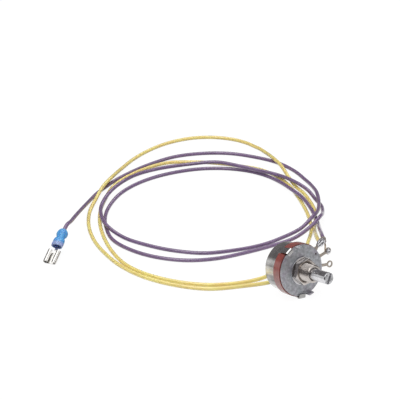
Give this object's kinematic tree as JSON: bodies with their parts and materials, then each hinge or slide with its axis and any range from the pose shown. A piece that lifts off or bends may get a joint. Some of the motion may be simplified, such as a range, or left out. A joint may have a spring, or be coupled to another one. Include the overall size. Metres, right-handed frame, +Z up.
{
  "type": "potentiometer",
  "caption": "Wire-wound panel potentiometer with a turning slotted shaft, threaded bushing, nut, solder terminals and long hook-up leads ending in sleeved push-on receptacles.",
  "frame": {"origin": "on the table, under the middle of the potentiometer measured without its leads", "axes": "+Z up from the table; -Y the way the shaft points, apart from its small rise; +X to the terminals' side"},
  "size_m": [0.1996, 0.2399, 0.0294],
  "materials": {
    "zinc_plate": "matte zinc plating",
    "nickel_brass": "bright nickel plating",
    "steel": "turned and plated",
    "bright_cover": "bright drawn",
    "phenolic": "moulded, satin",
    "tinned_brass": "tinned",
    "resistance_wire": "bare winding",
    "rotor_moulding": "moulded",
    "solder": "bright, flowed",
    "tinned_copper": "tinned",
    "purple_insulation": "extruded, soft gloss",
    "yellow_insulation": "extruded, soft gloss",
    "blue_sleeve": "moulded, translucent"
  },
  "bodies": {
    "case": {"front_plate": "zinc_plate", "bushing": "nickel_brass", "lock_washer": "steel", "hex_nut": "nickel_brass", "phenolic_base": "phenolic", "terminal_upper": "tinned_brass", "terminal_wiper": "tinned_brass", "terminal_lower": "tinned_brass", "rivet_upper": "tinned_brass", "rivet_wiper": "tinned_brass", "rivet_lower": "tinned_brass", "resistance_element": "resistance_wire", "rear_cover": "bright_cover", "solder_upper": "solder", "solder_wiper": "solder", "purple_lead": "purple_insulation", "purple_conductor": "tinned_copper", "purple_sleeve": "blue_sleeve", "purple_receptacle": "tinned_brass", "yellow_lead": "yellow_insulation", "yellow_conductor": "tinned_copper", "yellow_sleeve": "blue_sleeve", "yellow_receptacle": "tinned_brass"},
    "spindle": {"shaft": "steel", "retaining_ring": "steel", "rotor": "rotor_moulding", "wiper": "tinned_brass"}
  },
  "joints": [
    {"name": "shaft_turn", "type": "hinge", "parent": "case", "child": "spindle", "pos_m": [-0.00456, 0.00267, 0.01521], "axis": [0, -0.9855, 0.1697], "range_deg": [-150, 150]}
  ]
}
